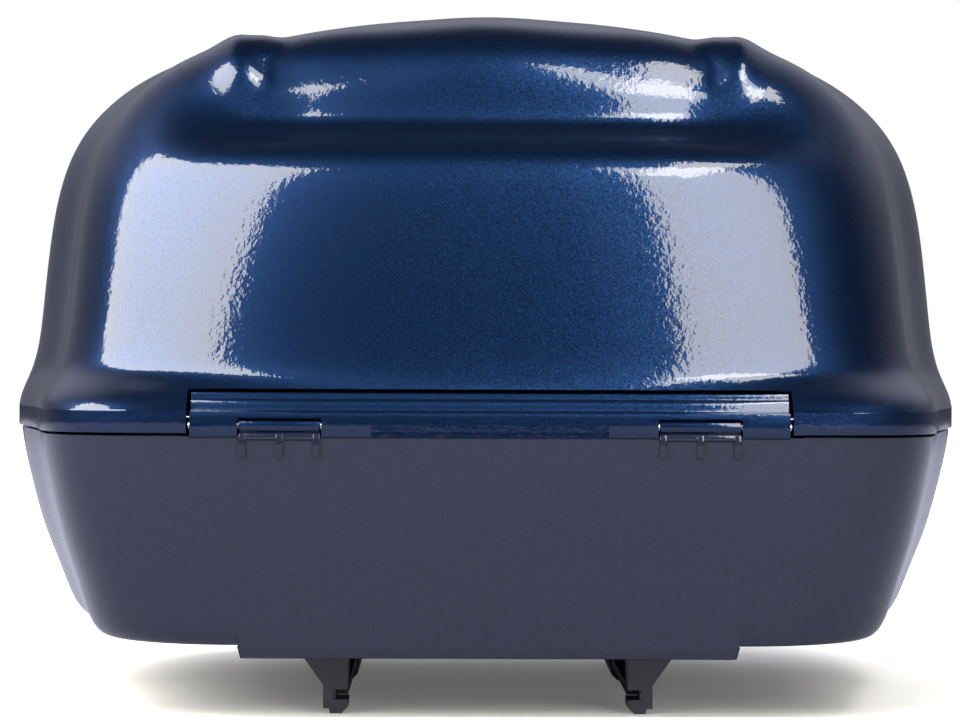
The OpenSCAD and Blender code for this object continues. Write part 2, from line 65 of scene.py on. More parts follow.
camera = bpy.data.objects.new("camera", bpy.data.cameras.new("camera"))
scene.collection.objects.link(camera)
camera.data.sensor_width = 36
camera.data.lens = 120.9
camera.data.clip_start, camera.data.clip_end = 0.05, 60
camera.location = CAMERA_PLACE
camera.rotation_euler = (math.radians(CAMERA_TILT), 0.0, math.radians(CAMERA_TURN))
camera.rotation_euler.rotate_axis("Z", math.radians(CAMERA_ROLL))
scene.camera = camera
scene.view_settings.view_transform = "Standard"

# ---- sizes, in millimetres, read off the frame -----------------------------------------------


def box_mm(node):
    low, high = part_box(node)
    return np.array(low) / MM, np.array(high) / MM

lid_low, lid_high = box_mm("lid_shell")
base_low, base_high = box_mm("base_shell")
beam_low, beam_high = box_mm("hinge_beam")
knuckle_low, knuckle_high = box_mm("knuckle_right")
mat_low, mat_high = box_mm("floor_mat")
spring_low, spring_high = box_mm("bolt_spring")

# the shell: width, hinge side, back, widest line, and the heights of rim, crown and floor
CASE_W = lid_high[0] - lid_low[0]
HINGE_Y, BACK_Y = lid_low[1], lid_high[1]
WIDEST_Y = HINGE_Y + 222.0
LID_Z, CROWN_Z = lid_low[2], 327.0
BASE_Z = base_high[2]
FLOOR_Z, UNDER_Z, PLINTH_Z = mat_low[2] - 0.2, 32.5, base_low[2]
SKIRT_HALF = box_mm("plinth")[1][0]
WALL = 3.0
# the hinge
AXIS_Y, AXIS_Z = HINGE_Y + 4.5, 130.5
BEAM_HALF, BEAM_BACK, BEAM_TOP = beam_high
SWEEP_R = AXIS_Z - beam_low[2]
RECESS_HALF = BEAM_HALF + 1.5
KNUCKLE_X = (knuckle_low[0] + knuckle_high[0]) / 2
KNUCKLE_HALF = (knuckle_high[0] - knuckle_low[0]) / 2
BARREL_R = knuckle_high[2] - AXIS_Z
EDGE_Z = 124.4           # lower edge of the knuckle's pocket in the base
# the latch housing and the carrier bolt
HOUSING_HALF, HOUSING_Y, HOUSING_Z = 42.0, BACK_Y - 32, 50.0
BOLT_Y = BACK_Y - 54

# ---- the moulded form ------------------------------------------------------------------------

FRONT_POWER, BACK_POWER, FRONT_TAPER = 8.0, 2.9, 0.11
# inset from the rim and height: hinge side, sides and back of the lid, then of the base
FRONT = [(0, 137), (5, 141), (11, 149), (14, 168), (18, 205), (25, 243), (34, 256.5), (54, 264),
         (67, 269), (70, 287), (75, 305), (94, 319), (146, 328.5), (188, 331), (222, 331)]
SIDE = [(0, 137), (1, 143), (5, 152), (9.5, 166), (12, 195), (15.5, 228), (20.5, 251),
        (28.5, 270), (42, 286.5), (60, 300), (84, 310.8), (112, 317.8), (146, 325.5),
        (190, 330.5), (230.5, 331)]
BACK = [(0, 137), (1, 142), (5, 152), (8, 170), (11, 200), (16, 228), (24, 250), (36, 270),
        (50, 286), (66, 299), (84, 310), (104, 319), (128, 326), (154, 330), (178, 331)]
BASE_FRONT = [(2, 126), (3, 113), (4.5, 98), (7, 80), (9.5, 65), (11.5, 54), (13, 45),
              (14.5, 38.5), (17.5, 34), (23, 32.5), (110, 32.5)]
BASE_SIDE = [(1.5, 126), (3, 115), (6, 102), (9.5, 88), (13.5, 75), (18.5, 63), (22.5, 52.5),
             (26.5, 42.5), (31, 36), (39, 32.5), (110, 32.5)]
# the front wall runs on down to the level of the plinth over the plinth's width
BASE_SKIRT = [(2, 126), (3, 113), (5.8, 89), (9.5, 65), (11.5, 54), (13, 45), (14.8, 36),
              (16, PLINTH_Z + 0.2), (24, PLINTH_Z), (24.5, UNDER_Z), (110, UNDER_Z)]
# the crown's slope sideways, lengthways and towards the back
DOME_X, DOME_Y, DOME_FALL = 1.45e-3, 1.0e-3, 8.7e-6
# crests: place, height, and spread on their inner and outer side
CREST_X, CREST_H, CREST_IN, CREST_OUT = 115.5, 3.4, 5.0, 10.0
# panel between them: half width, width of its edge low down and high up, depth, and its swell
PANEL_X, EDGE_LOW, EDGE_HIGH, PANEL_DEPTH = 106.5, 9.0, 18.0, 4.2
SWELL_H, SWELL_SPREAD = 3.8, 46.0
# how far the front face curves back behind the straight rim, at BOW_X from the middle
BOW, BOW_X, BOW_POWER, BOW_RISE = 18.0, 157.0, 2.7, 0.004


def smooth(u):
    """Smooth step from 0 to 1."""
    c = np.clip(u, 0, 1)
    return c * c * c * (c * (6 * c - 15) + 10)


def rim(a):
    """Plan of the rim in direction a, from the middle of the widest line."""
    c, s = np.cos(a), np.sin(a)
    front = s < 0
    half_d = np.where(front, WIDEST_Y - HINGE_Y, BACK_Y - WIDEST_Y)
    power = np.where(front, FRONT_POWER, BACK_POWER)
    r = ((np.abs(c) / (CASE_W / 2)) ** power + (np.abs(s) / half_d) ** power) ** (-1 / power)
    taper = np.where(front, 1 - FRONT_TAPER * smooth(-r * s / half_d / 0.85), 1)
    return r * c * taper, r * s


def curve(points, t):
    """Uniform cubic B-spline through the first and last points."""
    points = np.array(points, float)
    n = len(points)
    s = np.clip(t, 0, 1) * (n - 1)
    i = np.minimum(n - 2, np.floor(s)).astype(int)
    u = (s - i)[..., None]
    more = np.vstack([2 * points[0] - points[1], points, 2 * points[-1] - points[-2]])
    p = [more[i + k] for k in range(4)]
    return ((1 - u) ** 3 * p[0] + (3 * u**3 - 6 * u**2 + 4) * p[1]
            + (-3 * u**3 + 3 * u**2 + 3 * u + 1) * p[2] + u**3 * p[3]) / 6


def side_share(a):
    """How much of the side's profile the skin takes in direction a, from 0 to 1."""
    off = np.degrees(np.arcsin(np.abs(np.sin(a))))
    return np.where(np.sin(a) < 0, smooth((60 - off) / 24), smooth((75 - off) / 60))


def crest(x, y, z):
    """Outward push of the crests, the sunk panel and its swell."""
    shift = 5 * smooth((z - 285) / 35)
    rise = smooth((z - 272) / 30)
    fade = 1 - smooth((y - 20) / 130)
    out = np.abs(x) - CREST_X - shift
    edge = EDGE_LOW + (EDGE_HIGH - EDGE_LOW) * smooth((z - 292) / 20)
    panel = PANEL_X + shift + (EDGE_HIGH - edge) / 3
    spread = np.where(out < 0, CREST_IN + (edge - EDGE_LOW) / 3, CREST_OUT)
    return rise * fade * (CREST_H * np.exp(-(out / spread) ** 2)
                          - PANEL_DEPTH * smooth((panel - np.abs(x)) / edge)
                          + SWELL_H * np.exp(-(x / SWELL_SPREAD) ** 2))


def lid_skin(a, t, inward=0.0):
    """Points of the lid's skin in direction a, from the rim at t = 0 to the crown at 1."""
    a, t = np.broadcast_arrays(np.asarray(a, float), np.asarray(t, float))
    rx, ry = rim(a)
    w = side_share(a)[..., None]
    ahead = np.sin(a) < 0
    depth = np.where(ahead, WIDEST_Y - HINGE_Y, BACK_Y - WIDEST_Y)
    end = np.where(ahead[..., None], curve(FRONT, t), curve(BACK, t))
    side = curve(SIDE, t)
    share_end = np.stack([end[..., 0] / depth, end[..., 1]], -1)
    share_side = np.stack([side[..., 0] / (CASE_W / 2), side[..., 1]], -1)
    level = share_end + (share_side - share_end) * w
    k = np.maximum(0, 1 - level[..., 0])
    x, y, z = rx * k, ry * k, level[..., 1]
    dome = 331 - DOME_X * x * x - DOME_Y * y * y - DOME_FALL * y**3
    z = z + (dome - z) * smooth((0.42 - k) / 0.3)
    z = LID_Z + (z - 127) * (CROWN_Z - LID_Z) / 204
    length = np.maximum(1, np.hypot(y, z - 150))
    push = crest(x, y + WIDEST_Y, z)
    y, z = y + push * y / length, z + push * (z - 150) / length
    y = y + (BOW * (np.abs(x) / BOW_X) ** BOW_POWER * smooth(-y / 180)
             * smooth((z - 138) / 20) * (1 + BOW_RISE * (z - 200)))
    shrink = np.maximum(0, 1 - inward / np.hypot(rx, ry))
    h = (z - LID_Z) / (CROWN_Z - LID_Z)
    return np.stack([x * shrink, WIDEST_Y + y * shrink, z - inward * smooth(h * 1.15)], -1)


def base_skin(a, t, inward=0.0, front=BASE_FRONT):
    """Points of the base's skin in direction a, from the rim at t = 0 to its underside."""
    a, t = np.broadcast_arrays(np.asarray(a, float), np.asarray(t, float))
    rx, ry = rim(a)
    w = np.where(np.sin(a) < 0, side_share(a), 1.0)[..., None]
    level = curve(front, t) * (1 - w) + curve(BASE_SIDE, t) * w
    k = 1 - (level[..., 0] + inward) / np.hypot(rx, ry)
    z = level[..., 1] - (126 - BASE_Z) * smooth((level[..., 1] - 60) / 60)
    if inward > 0:
        z = np.maximum(FLOOR_Z, z)
    return np.stack([rx * k, ry * k + WIDEST_Y, z], -1)


def rim_ring(a, inward, z):
    """The rim's outline moved inward, at height z."""
    rx, ry = rim(a)
    k = 1 - inward / np.hypot(rx, ry)
    return np.stack([rx * k, ry * k + WIDEST_Y, np.full_like(rx, z)], -1)


# ---- mesh helpers ----------------------------------------------------------------------------


def link(name, mesh):
    o = bpy.data.objects.new(name, mesh)
    scene.collection.objects.link(o)
    return o


def from_bmesh(name, bm, angle=35):
    bmesh.ops.remove_doubles(bm, verts=bm.verts, dist=1e-7)
    bmesh.ops.recalc_face_normals(bm, faces=bm.faces)
    mesh = bpy.data.meshes.new(name)
    bm.to_mesh(mesh)
    bm.free()
    finish_shading(mesh, angle)
    return link(name, mesh)


def finish_shading(mesh, angle=35):
    mesh.polygons.foreach_set("use_smooth", [True] * len(mesh.polygons))
    mesh.set_sharp_from_angle(angle=math.radians(angle))
    mesh.update()


def shell(outer, inner):
    """Closed shell through outer and inner rings (mm), both from the open edge to the middle."""
    bm = bmesh.new()
    made = [[[bm.verts.new(Vector(p) * MM) for p in ring] for ring in part]
            for part in (outer, inner)]
    for part in made:
        n = len(part[0])
        for lower, upper in zip(part, part[1:]):
            for j in range(n):
                k = (j + 1) % n
                bm.faces.new((lower[j], lower[k], upper[k], upper[j]))
        top = part[-1]
        middle = bm.verts.new(sum((v.co for v in top), Vector()) / n)
        for j in range(n):
            bm.faces.new((top[j], top[(j + 1) % n], middle))
    low_out, low_in = made[0][0], made[1][0]
    n = len(low_out)
    for j in range(n):
        k = (j + 1) % n
        bm.faces.new((low_out[k], low_out[j], low_in[j], low_in[k]))
    return bm


def box_into(bm, low, high):
    made = bmesh.ops.create_cube(bm, size=1)["verts"]
    low, high = Vector(low) * MM, Vector(high) * MM
    for v in made:
        v.co = Vector((c + 0.5) * (h - l) + l for c, l, h in zip(v.co, low, high))


def rod_into(bm, r, length, centre, axis="X", segments=32):
    made = bmesh.ops.create_cone(bm, cap_ends=True, segments=segments, radius1=r * MM,
                                 radius2=r * MM, depth=length * MM)["verts"]
    for v in made:
        x, y, z = v.co
        v.co = {"X": (z, x, y), "Y": (x, z, y), "Z": (x, y, z)}[axis]
        v.co = v.co + Vector(centre) * MM


def prism(bm, sections):
    """Closed body through equal rings of points in millimetres."""
    rings = [[bm.verts.new(Vector(p) * MM) for p in ring] for ring in sections]
    n = len(rings[0])
    for one, two in zip(rings, rings[1:]):
        for j in range(n):
            bm.faces.new((one[j], one[(j + 1) % n], two[(j + 1) % n], two[j]))
    bm.faces.new(rings[0])
    bm.faces.new(rings[-1])


def applied(o):
    """The object with its modifiers applied to its mesh."""
    bpy.context.view_layer.update()
    held = o.evaluated_get(bpy.context.evaluated_depsgraph_get())
    mesh = bpy.data.meshes.new_from_object(held)
    o.modifiers.clear()
    o.data = mesh


def cut(o, cutter_bm, angle=40):
    """Takes the cutter's bodies away from the object for good."""
    mesh = bpy.data.meshes.new("cutter")
    bmesh.ops.recalc_face_normals(cutter_bm, faces=cutter_bm.faces)
    cutter_bm.to_mesh(mesh)
    cutter_bm.free()
    cutter = link("cutter", mesh)
    m = o.modifiers.new("cut", "BOOLEAN")
    m.operation, m.object, m.solver = "DIFFERENCE", cutter, "EXACT"
    applied(o)
    bpy.data.objects.remove(cutter)
    finish_shading(o.data, angle)


def cut_box(o, low, high, angle=40):
    bm = bmesh.new()
    box_into(bm, low, high)
    cut(o, bm, angle)


def cut_rod(o, r, length, centre, segments, angle=40):
    bm = bmesh.new()
    rod_into(bm, r, length, centre, segments=segments)
    cut(o, bm, angle)


def rounded(o, width, segments=3, angle=30):
    """Rounds the sharp edges of a piece for good."""
    m = o.modifiers.new("round", "BEVEL")
    m.limit_method, m.angle_limit = "ANGLE", math.radians(angle)
    m.width, m.segments, m.use_clamp_overlap = width * MM, segments, True
    applied(o)
    finish_shading(o.data, 40)


def soften(node, width=0.3, segments=2, angle=30):
    """Rounds the edges of a CAD node that stays."""
    o = nodes[node]
    weld = o.modifiers.new("weld", "WELD")
    weld.merge_threshold = 1e-6
    bevel = o.modifiers.new("bevel", "BEVEL")
    bevel.limit_method = "ANGLE"
    bevel.angle_limit = math.radians(angle)
    bevel.width = width * MM
    bevel.segments = segments
    bevel.harden_normals = True
    bevel.use_clamp_overlap = True


# ---- materials -------------------------------------------------------------------------------


class Surface:
    """A principled material and short ways to add nodes to it."""

    def __init__(self, name, colour, rough, metallic=0.0, **sockets):
        self.material = bpy.data.materials.new(name)
        self.material.use_nodes = True
        self.tree = self.material.node_tree
        self.shader = self.tree.nodes["Principled BSDF"]
        self.shader.inputs["Base Color"].default_value = (*colour, 1)
        self.shader.inputs["Roughness"].default_value = rough
        self.shader.inputs["Metallic"].default_value = metallic
        for key, value in sockets.items():
            self.shader.inputs[key.replace("_", " ")].default_value = value
        self.place = self.node("ShaderNodeTexCoord").outputs["Object"]

    def node(self, kind, **settings):
        n = self.tree.nodes.new(kind)
        for key, value in settings.items():
            setattr(n, key, value)
        return n

    def link(self, out, socket):
        self.tree.links.new(out, socket)

    def noise(self, scale, detail=3, roughness=0.5, stretch=None):
        n = self.node("ShaderNodeTexNoise")
        n.inputs["Scale"].default_value = scale
        n.inputs["Detail"].default_value = detail
        n.inputs["Roughness"].default_value = roughness
        place = self.place
        if stretch:
            mapping = self.node("ShaderNodeMapping")
            mapping.inputs["Scale"].default_value = stretch
            self.link(place, mapping.inputs["Vector"])
            place = mapping.outputs["Vector"]
        self.link(place, n.inputs["Vector"])
        return n.outputs["Fac"]

    def ramp(self, value, stops):
        r = self.node("ShaderNodeValToRGB")
        r.color_ramp.elements[0].position = stops[0][0]
        r.color_ramp.elements[0].color = (*stops[0][1], 1)
        r.color_ramp.elements[1].position = stops[-1][0]
        r.color_ramp.elements[1].color = (*stops[-1][1], 1)
        for at, colour in stops[1:-1]:
            r.color_ramp.elements.new(at).color = (*colour, 1)
        self.link(value, r.inputs["Fac"])
        return r.outputs["Color"]

    def span(self, value, low, high, start=0.0, end=1.0):
        """Maps start..end of the value to low..high."""
        n = self.node("ShaderNodeMapRange")
        for key, v in (("From Min", start), ("From Max", end), ("To Min", low), ("To Max", high)):
            n.inputs[key].default_value = v
        self.link(value, n.inputs["Value"])
        return n.outputs["Result"]

    def bump(self, height, strength, distance, before=None):
        n = self.node("ShaderNodeBump")
        n.inputs["Strength"].default_value = strength
        n.inputs["Distance"].default_value = distance
        self.link(height, n.inputs["Height"])
        if before:
            self.link(before, n.inputs["Normal"])
        return n.outputs["Normal"]

    def flakes(self, scale, tilt):
        """Normals tilted flake by flake, and one random number per flake."""
        cells = self.node("ShaderNodeTexVoronoi")
        cells.inputs["Scale"].default_value = scale
        self.link(self.place, cells.inputs["Vector"])
        off = self.node("ShaderNodeVectorMath", operation="SUBTRACT")
        off.inputs[1].default_value = (0.5, 0.5, 0.5)
        self.link(cells.outputs["Color"], off.inputs[0])
        small = self.node("ShaderNodeVectorMath", operation="SCALE")
        small.inputs["Scale"].default_value = tilt
        self.link(off.outputs[0], small.inputs[0])
        total = self.node("ShaderNodeVectorMath", operation="ADD")
        self.link(self.node("ShaderNodeNewGeometry").outputs["Normal"], total.inputs[0])
        self.link(small.outputs[0], total.inputs[1])
        unit = self.node("ShaderNodeVectorMath", operation="NORMALIZE")
        self.link(total.outputs[0], unit.inputs[0])
        parts = self.node("ShaderNodeSeparateColor")
        self.link(cells.outputs["Color"], parts.inputs[0])
        return unit.outputs[0], parts.outputs[0]


def paint(name, dark, mid, bright, rough, metallic, tilt, peel=0.0003, spec=0.5):
    """Metallic paint: tilted flakes under a clear coat with a slight orange peel."""
    s = Surface(name, mid, rough, metallic, Coat_Weight=1.0, Coat_Roughness=0.03, Coat_IOR=1.5,
                Specular_IOR_Level=spec)
    normal, number = s.flakes(3200, tilt)
    s.link(s.ramp(number, [(0.0, dark), (0.5, mid), (1.0, bright)]), s.shader.inputs["Base Color"])
    s.link(normal, s.shader.inputs["Normal"])
    s.link(s.bump(s.noise(380, 2), 0.3, peel), s.shader.inputs["Coat Normal"])
    return s.material


def moulded(name, dark, light, rough, grain=1500, depth=0.00012):
    """Moulded plastic or rubber with a fine grain, slightly uneven in tone and gloss."""
    s = Surface(name, light, rough)
    s.link(s.ramp(s.noise(45, 4, 0.6), [(0.3, dark), (0.7, light)]), s.shader.inputs["Base Color"])
    s.link(s.span(s.noise(90, 4), rough - 0.08, rough + 0.1), s.shader.inputs["Roughness"])
    s.link(s.bump(s.noise(grain, 2), 0.5, depth), s.shader.inputs["Normal"])
    return s.material


def metal(name, dark, light, rough, stretch=(1, 1, 30), scale=60):
    """Brushed or plated metal with streaks along one axis."""
    s = Surface(name, light, rough, 1.0)
    streak = s.noise(scale, 4, 0.6, stretch)
    s.link(s.ramp(streak, [(0.3, dark), (0.7, light)]), s.shader.inputs["Base Color"])
    s.link(s.span(streak, rough - 0.08, rough + 0.12), s.shader.inputs["Roughness"])
    s.link(s.bump(streak, 0.15, 0.0001), s.shader.inputs["Normal"])
    return s.material


MATERIALS = {
    "lid_paint": paint("lid_paint", (0.001, 0.008, 0.034), (0.002, 0.014, 0.056),
                       (0.005, 0.030, 0.105), 0.36, 0.9, 0.13),
    "base_paint": paint("base_paint", (0.004, 0.007, 0.018), (0.006, 0.009, 0.024),
                        (0.009, 0.014, 0.036), 0.42, 0.3, 0.06, spec=0.15),
    "dark_plastic": moulded("dark_plastic", (0.018, 0.019, 0.028), (0.028, 0.029, 0.042), 0.38),
    "black_plastic": moulded("black_plastic", (0.010, 0.010, 0.011), (0.018, 0.018, 0.020), 0.45),
    "liner_plastic": moulded("liner_plastic", (0.030, 0.031, 0.035), (0.045, 0.047, 0.052), 0.6,
                             900, 0.0003),
    "mat_rubber": moulded("mat_rubber", (0.014, 0.014, 0.015), (0.026, 0.026, 0.028), 0.7),
    "seal_rubber": moulded("seal_rubber", (0.008, 0.008, 0.008), (0.014, 0.014, 0.015), 0.55),
    "button_plastic": moulded("button_plastic", (0.25, 0.010, 0.010), (0.36, 0.016, 0.014), 0.4),
    "pin_steel": metal("pin_steel", (0.45, 0.46, 0.48), (0.70, 0.71, 0.73), 0.25, (1, 20, 20)),
    "strip_steel": metal("strip_steel", (0.38, 0.39, 0.41), (0.62, 0.63, 0.65), 0.32, (20, 1, 20)),
    "zinc_steel": metal("zinc_steel", (0.42, 0.43, 0.44), (0.62, 0.63, 0.64), 0.38, (1, 1, 1),
                        300),
    "lock_chrome": metal("lock_chrome", (0.60, 0.60, 0.62), (0.82, 0.82, 0.84), 0.14, (1, 1, 1),
                         200),
}


def dress(o, slot_name):
    o.data.materials.clear()
    o.data.materials.append(MATERIALS[slot_name])


def piece(o, body, slot_name, *replaced):
    """Gives a new piece its body, its finish and the CAD nodes that it stands for."""
    dress(o, slot_name)
    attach(o, body)
    if replaced:
        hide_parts(*replaced)


slot_of = {s["node"]: s["material_slot"] for s in frame["record"]["subparts"]}
for name, o in nodes.items():
    dress(o, slot_of[name])

# ---- lid -------------------------------------------------------------------------------------

around = np.radians(np.arange(0, 360, 1.0))
NEAR_CROWN = 0.99        # the last ring, closed to a point at the crown


def lid_rings(count, inward):
    return [lid_skin(around, NEAR_CROWN * i / count, inward) for i in range(count + 1)]


outer = [rim_ring(around, 0.6, LID_Z), rim_ring(around, 0.18, LID_Z + 0.18),
         rim_ring(around, 0, LID_Z + 0.6), rim_ring(around, 0, LID_Z + 5),
         rim_ring(around, 0, LID_Z + 9.6)] + lid_rings(112, 0)
inner = [rim_ring(around, WALL, LID_Z)] + lid_rings(56, WALL)
lid = from_bmesh("lid_skin", shell(outer, inner), 40)
cut_box(lid, (-RECESS_HALF, HINGE_Y - 5, LID_Z - 7),
        (RECESS_HALF, HINGE_Y + 14.3, BEAM_TOP + 1.5))
piece(lid, "lid", "lid_paint", "lid_shell")

LINER_GAP, LINER_WALL = WALL + 1.2, 2
outer, inner = ([rim_ring(around, inward, LID_Z + 2)] + lid_rings(48, inward)
                for inward in (LINER_GAP, LINER_GAP + LINER_WALL))
liner = from_bmesh("lid_lining", shell(outer, inner), 40)
cutters = bmesh.new()
box_into(cutters, (-RECESS_HALF - 4, HINGE_Y - 5, LID_Z - 7),
         (RECESS_HALF + 4, HINGE_Y + 18, BEAM_TOP + 3))
box_into(cutters, (-30, BACK_Y - 30, LID_Z - 7), (30, BACK_Y + 5, 150))
cut(liner, cutters)
piece(liner, "lid", "liner_plastic", "lid_liner")

# ---- base ------------------------------------------------------------------------------------

# directions of the skirt's two ends, with a pair of rings' points close round each
edge = math.atan2(WIDEST_Y - HINGE_Y, SKIRT_HALF * 1.05 / (1 - FRONT_TAPER))
ends = [math.pi + edge, 2 * math.pi - edge]
STEP = math.radians(0.02)
turns = np.sort(np.concatenate([around, [e + s for e in ends for s in (-STEP, STEP)]]))
skirted = (turns > ends[0]) & (turns < ends[1])


def base_ring(t):
    return np.where(skirted[:, None], base_skin(turns, t, front=BASE_SKIRT), base_skin(turns, t))


outer = [base_ring(t) for t in np.linspace(0, 1, 61)]
inner = [base_skin(turns, t, WALL) for t in np.linspace(0, 0.9, 41)]
base = from_bmesh("base_tub", shell(outer, inner), 40)
cut_rod(base, SWEEP_R + 0.5, 2 * RECESS_HALF, (0, AXIS_Y, AXIS_Z), 64)
cut_box(base, (-HOUSING_HALF - 0.3, HOUSING_Y - 0.3, HOUSING_Z - 0.3),
        (HOUSING_HALF + 0.3, BACK_Y + 10, 130))
for side in (-1, 1):
    cut_box(base, (side * KNUCKLE_X - KNUCKLE_HALF - 0.3, HINGE_Y - 1, EDGE_Z - 0.3),
            (side * KNUCKLE_X + KNUCKLE_HALF + 0.3, HINGE_Y + 10, 130))
    # slanted flank of the skirt
    cutters = bmesh.new()
    prism(cutters, [[(side * x, HINGE_Y + y, z) for x, z in (
        (SKIRT_HALF - 2.5, PLINTH_Z - 1), (SKIRT_HALF + 12, PLINTH_Z - 1),
        (SKIRT_HALF + 12, UNDER_Z - 0.1), (SKIRT_HALF - 0.8, UNDER_Z - 0.1))] for y in (5, 30)])
    cut(base, cutters)
piece(base, "base", "base_paint", "base_shell")

# ---- hinge -----------------------------------------------------------------------------------

# section of the beam from its inner lower edge, under its lip, up the front and over two ribs:
# distance behind the hinge side, and height below its top
SECTION = [(4.5 + SWEEP_R * math.cos(math.radians(a)),
            BEAM_TOP - AXIS_Z - SWEEP_R * math.sin(math.radians(a))) for a in range(300, 227, -8)]
SECTION += [(0.05, BEAM_TOP - 127), (0, 14), (0, 10.6), (0.25, 9.4), (0.9, 8.5), (1.9, 8.0),
            (3.0, 7.75), (3.35, 7.2), (3.5, 6.2), (3.9, 4.9), (4.7, 3.7), (5.8, 3.0), (6.9, 2.75),
            (7.3, 2.2), (7.4, 1.4), (7.8, 0.6), (8.5, 0.12), (9.4, 0)]


def beam_ring(x):
    """Section of the beam at x. Its ribs curve back towards the ends."""
    bow = 6 * max(0, (abs(x) - 70) / 61) ** 2.2
    ring = []
    for back, down in SECTION:
        share = 1.0 if down < 8.2 else 0.12 if down < 11 else 0.05
        ring.append((x, HINGE_Y + back + bow * share * max(0, 1 - back / 12), BEAM_TOP - down))
    ring.append((x, BEAM_BACK, BEAM_TOP))
    ring.append((x, BEAM_BACK, AXIS_Z + 0.8))
    return ring


bm = bmesh.new()
prism(bm, [beam_ring(x) for x in np.linspace(-BEAM_HALF, BEAM_HALF, 61)])
beam = from_bmesh("hinge_bar", bm, 40)
NOTCH_HALF = KNUCKLE_HALF + 0.6
for x in (-KNUCKLE_X, KNUCKLE_X):
    cut_rod(beam, BARREL_R + 0.5, 2 * NOTCH_HALF, (x, AXIS_Y, AXIS_Z), 48, 30)
    for back, top in ((HINGE_Y + 4.5, AXIS_Z + 3.3), (HINGE_Y + 20, AXIS_Z + 1.5)):
        cut_box(beam, (x - NOTCH_HALF, HINGE_Y - 2, AXIS_Z - 9), (x + NOTCH_HALF, back, top), 30)
cut_box(beam, (-51.75, HINGE_Y - 1, AXIS_Z - 7.5), (51.75, HINGE_Y + 1.5, AXIS_Z - 2.6), 30)
piece(beam, "lid", "lid_paint", "hinge_beam")

# side view of a knuckle's rib and of its web and plate: distance behind the hinge side, and z
RIB = [(0.9, 126.9), (0.5, 125.9), (0.3, 124), (0.3, 121), (0.8, 117.4), (1.7, 116.2),
       (2.3, 116.4), (1.7, EDGE_Z), (2.6, 126.9)]
WEB = [(1.0, EDGE_Z), (0.8, 124.9), (0.8, 126.5), (1.0, 126.9), (2.1, 127.6), (4.5, 128.4),
       (7.5, 127.9), (9, 125.4), (9, 114.8), (6.3, 114.8), (6.3, EDGE_Z)]
RIB_HALF = 1.55


def plate_into(bm, outline, x, half):
    """A plate of the given side view, half its thickness to each side of x."""
    prism(bm, [[(x + h, HINGE_Y + y, z) for y, z in outline] for h in (-half, half)])


for side, name in ((-1, "left"), (1, "right")):
    x = side * KNUCKLE_X
    bm = bmesh.new()
    rod_into(bm, BARREL_R, 2 * KNUCKLE_HALF, (x, AXIS_Y, AXIS_Z), segments=48)
    barrel = from_bmesh("barrel_" + name, bm, 40)
    cut_rod(barrel, 2.1, 2 * KNUCKLE_HALF + 4, (x, AXIS_Y, AXIS_Z), 32)
    rounded(barrel, 0.5)
    piece(barrel, "base", "lid_paint")
    bm = bmesh.new()
    for i in (-1, 0, 1):
        plate_into(bm, RIB, x + i * (KNUCKLE_HALF - RIB_HALF), RIB_HALF)
    plate_into(bm, WEB, x, KNUCKLE_HALF)
    legs = from_bmesh("bracket_" + name, bm, 40)
    rounded(legs, 0.3)
    piece(legs, "base", "base_paint", "knuckle_" + name)

# ---- inside ----------------------------------------------------------------------------------

# ribs across the floor mat, broken round the feet's screws and the bolt's guide
SCREW_X = box_mm("foot_screws")[1][0] - 4.4
front_foot, rear_foot = HINGE_Y + 62, HINGE_Y + 246
screw_rows = (front_foot - 6, front_foot + 6, rear_foot - 36, rear_foot + 36)
RIB_PITCH, RIB_INSET, SCREW_GAP, GUIDE_HALF = 8.5, 47, 8, 21
RIB_SECTION = [(-1.3, -0.2), (-0.9, 0.5), (-0.3, 0.75), (0.3, 0.75), (0.9, 0.5), (1.3, -0.2)]
outline = rim_ring(around, RIB_INSET, 0)
ahead, behind = outline[270:], outline[90::-1]
bm = bmesh.new()
for y in np.arange(mat_low[1] + 8, mat_high[1] - 5, RIB_PITCH):
    if y < WIDEST_Y:
        reach = np.interp(y, ahead[:, 1], ahead[:, 0])
    else:
        reach = np.interp(-y, -behind[:, 1], behind[:, 0])
    spans = [(-reach, reach)]
    if min(abs(y - row) for row in screw_rows) < 7.5:
        spans = [(-reach, -SCREW_X - SCREW_GAP), (SCREW_GAP - SCREW_X, SCREW_X - SCREW_GAP),
                 (SCREW_X + SCREW_GAP, reach)]
    if y > BOLT_Y - 19:
        spans = [(-reach, -GUIDE_HALF), (GUIDE_HALF, reach)]
    for span in spans:
        prism(bm, [[(x, y + w, mat_high[2] + h) for w, h in RIB_SECTION] for x in span])
piece(from_bmesh("mat_ribs", bm, 60), "base", "mat_rubber")

COIL_TURNS, COIL_R, WIRE_R, TURN_STEPS = 6, 5.0, 0.7, 32
SPRING_H = spring_high[2] - spring_low[2]
rings = []
for i in range(COIL_TURNS * TURN_STEPS + 1):
    turn = i / TURN_STEPS
    z = spring_low[2] + WIRE_R + (SPRING_H - 2 * WIRE_R) * turn / COIL_TURNS
    out = Vector((math.cos(2 * math.pi * turn), math.sin(2 * math.pi * turn), 0))
    middle = Vector((0, BOLT_Y, z)) + out * COIL_R
    rings.append([middle + out * (WIRE_R * math.cos(f)) + Vector((0, 0, WIRE_R * math.sin(f)))
                  for f in np.radians(np.arange(0, 360, 36))])
bm = bmesh.new()
prism(bm, rings)
spring = from_bmesh("spring_coil", bm, 60)
piece(spring, "base", "pin_steel", "bolt_spring")
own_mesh(spring)

